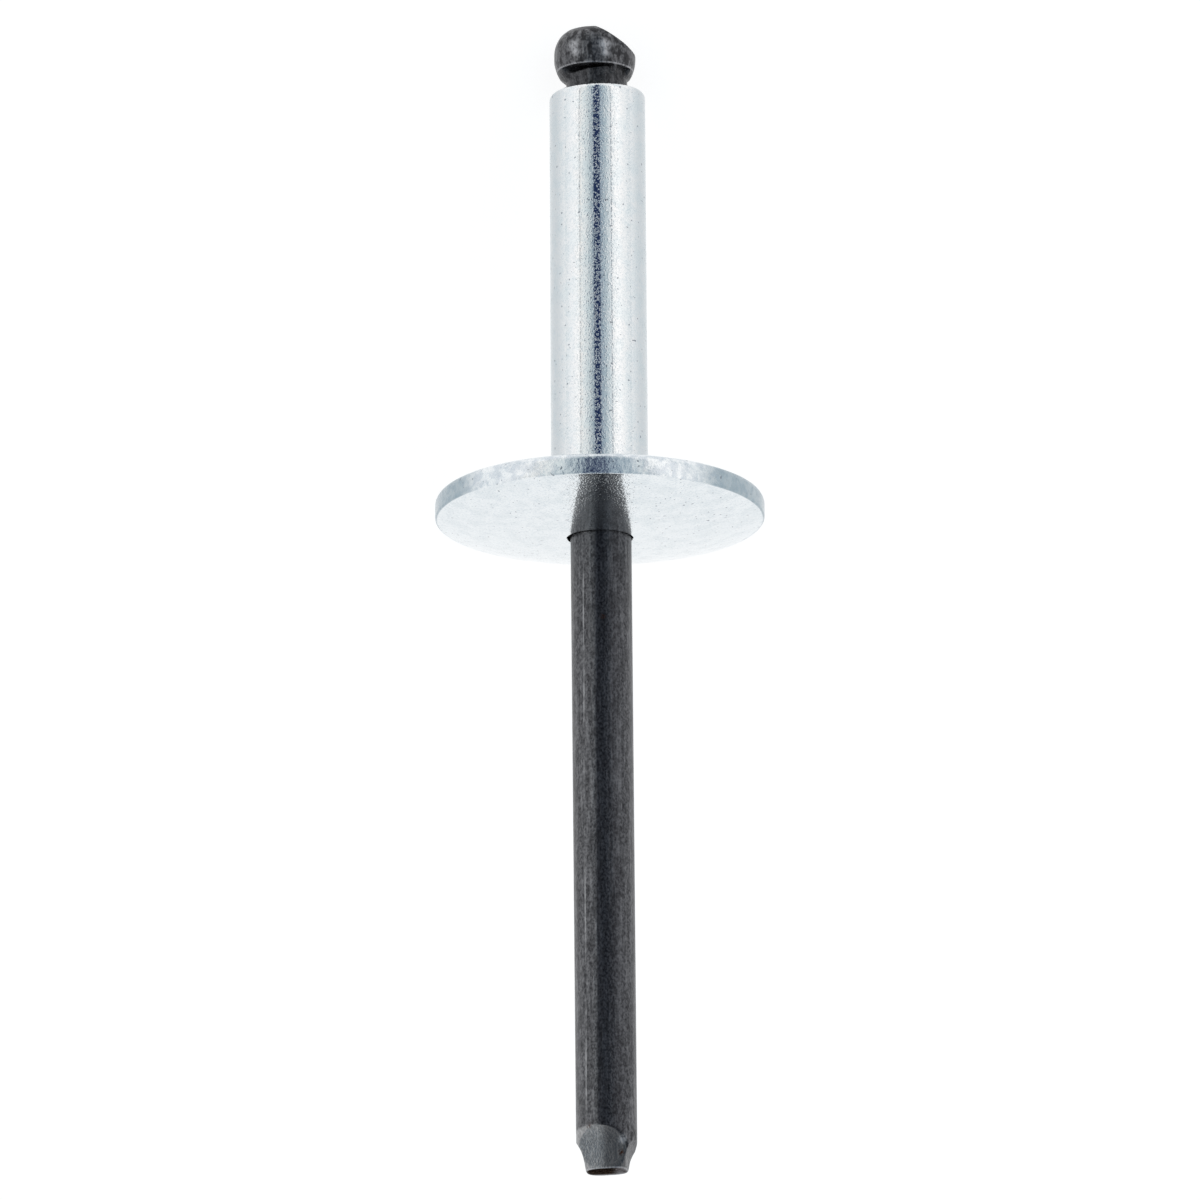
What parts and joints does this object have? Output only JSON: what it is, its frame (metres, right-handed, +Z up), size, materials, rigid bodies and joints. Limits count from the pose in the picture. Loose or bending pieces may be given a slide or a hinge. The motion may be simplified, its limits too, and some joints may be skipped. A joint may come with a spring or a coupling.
{
  "type": "pop rivet",
  "caption": "Pop rivet: a blind rivet with a hollow shank, a large crowned flange and a headed pulling mandrel, unset.",
  "frame": {"origin": "on the surface that the rivet lies on, midway between its two ends and on its own axis in plan", "axes": "+Z up, +Y from the stem's tail towards the mandrel's head in plan; the rivet's axis leans down towards +Y by 14.7 degrees"},
  "size_m": [0.0162, 0.0569, 0.0175],
  "materials": {
    "zinc_plate": "bright zinc plate on steel, faintly pitted",
    "dark_steel": "dark drawn steel wire with fine lengthwise marks and specks of rust"
  },
  "bodies": {
    "root": {"rivet_body": "zinc_plate", "mandrel": "dark_steel"}
  },
  "joints": []
}
